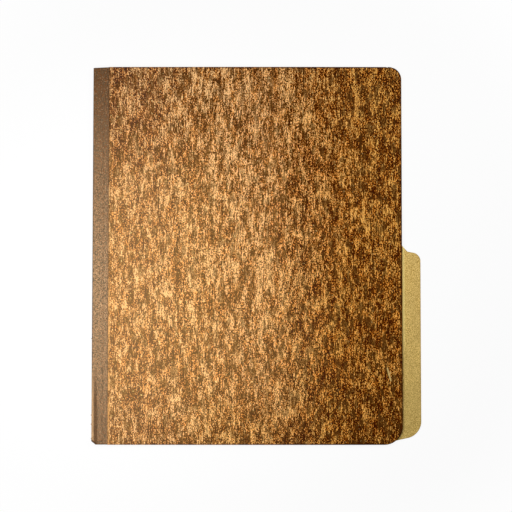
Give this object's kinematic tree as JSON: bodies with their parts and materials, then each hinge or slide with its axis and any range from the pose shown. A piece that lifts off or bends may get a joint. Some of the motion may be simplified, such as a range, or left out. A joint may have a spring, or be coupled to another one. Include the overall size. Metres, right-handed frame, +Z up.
{
  "type": "file folder",
  "caption": "Pressboard file folder for letter-size paper: front and rear covers joined by a folded cloth gusset at the fold, with a tab along the lower half of the rear cover's free edge.",
  "frame": {"origin": "middle of the closed folder's footprint, on the surface that it rests on", "axes": "+Z up through the front cover; +Y along the fold towards the head; +X from the fold to the free edge with the tab"},
  "size_m": [0.2593, 0.2984, 0.0034],
  "materials": {
    "front_pressboard": "mottled bronze and brown pressboard with a soft sheen outside, plain khaki inside and on its cut edges",
    "rear_pressboard": "mottled bronze and brown pressboard with a soft sheen outside, plain khaki inside, on the tab's face and on its cut edges",
    "gusset_cloth": "matt brown book cloth with a fine grain"
  },
  "bodies": {
    "rear": {"rear_cover": "rear_pressboard", "gusset_rear_flange": "gusset_cloth"},
    "rear_leaf": {"gusset_rear_leaf": "gusset_cloth"},
    "bend": {"gusset_bend": "gusset_cloth"},
    "front_leaf": {"gusset_front_leaf": "gusset_cloth"},
    "front": {"gusset_front_flange": "gusset_cloth", "front_cover": "front_pressboard"}
  },
  "joints": [
    {"name": "gusset_expand", "type": "hinge", "parent": "rear", "child": "rear_leaf", "pos_m": [-0.11695, 0, 0.00109], "axis": [0, 1, 0], "range_deg": [0, 89.5]},
    {"name": "bend_turn", "type": "hinge", "parent": "rear_leaf", "child": "bend", "pos_m": [-0.1292, 0, 0.00109], "axis": [0, -1, 0], "range_deg": [0, 179.5]},
    {"name": "cover_open", "type": "hinge", "parent": "bend", "child": "front_leaf", "pos_m": [-0.1292, 0, 0.00229], "axis": [0, -1, 0], "range_deg": [0, 179.5]},
    {"name": "front_crease", "type": "hinge", "parent": "front_leaf", "child": "front", "pos_m": [-0.11695, 0, 0.00229], "axis": [0, 1, 0], "range_deg": [0, 89.5]}
  ],
  "couplings": [
    {"joint": "bend_turn", "follows": "gusset_expand", "ratio": 2},
    {"joint": "front_crease", "follows": "gusset_expand", "ratio": 1}
  ]
}
